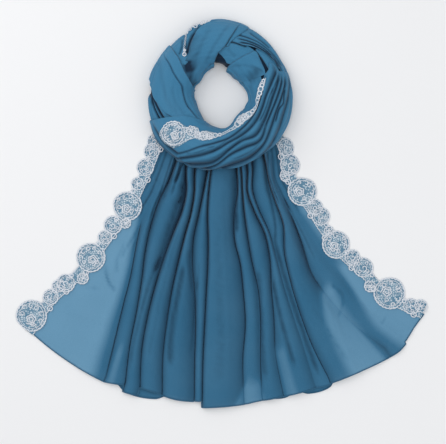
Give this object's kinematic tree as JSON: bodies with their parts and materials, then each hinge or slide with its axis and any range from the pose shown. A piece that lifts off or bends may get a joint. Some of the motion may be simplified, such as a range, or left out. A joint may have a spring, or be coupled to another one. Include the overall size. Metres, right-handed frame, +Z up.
{
  "type": "hijab headscarf",
  "caption": "Chiffon headscarf with embroidered lace borders, wound into a neck ring with its gathered tail fanned out flat, to lie on a table or shelf.",
  "frame": {"origin": "centre of the bounding box's base, on the table", "axes": "+X to the scarf's right across the fanned hem, +Y from the hem towards the neck ring, +Z up from the table"},
  "size_m": [0.6166, 0.58, 0.0509],
  "materials": {
    "chiffon": "matte crepe chiffon, slightly see-through",
    "embroidery": "silver-white embroidered lace on a chiffon ground"
  },
  "bodies": {
    "root": {"ring_core": "chiffon", "strand_front": "chiffon", "band_top": "chiffon", "band_left": "chiffon", "flap_top": "chiffon", "folds_upper_right": "chiffon", "fold_inner_high": "chiffon", "fold_inner_main": "chiffon", "fold_inner_low": "chiffon", "back_top": "chiffon", "pleats_lower_left": "chiffon", "tail_front": "chiffon", "tail_under": "chiffon", "lace_left": "embroidery", "lace_right": "embroidery", "lace_front": "embroidery"}
  },
  "joints": []
}
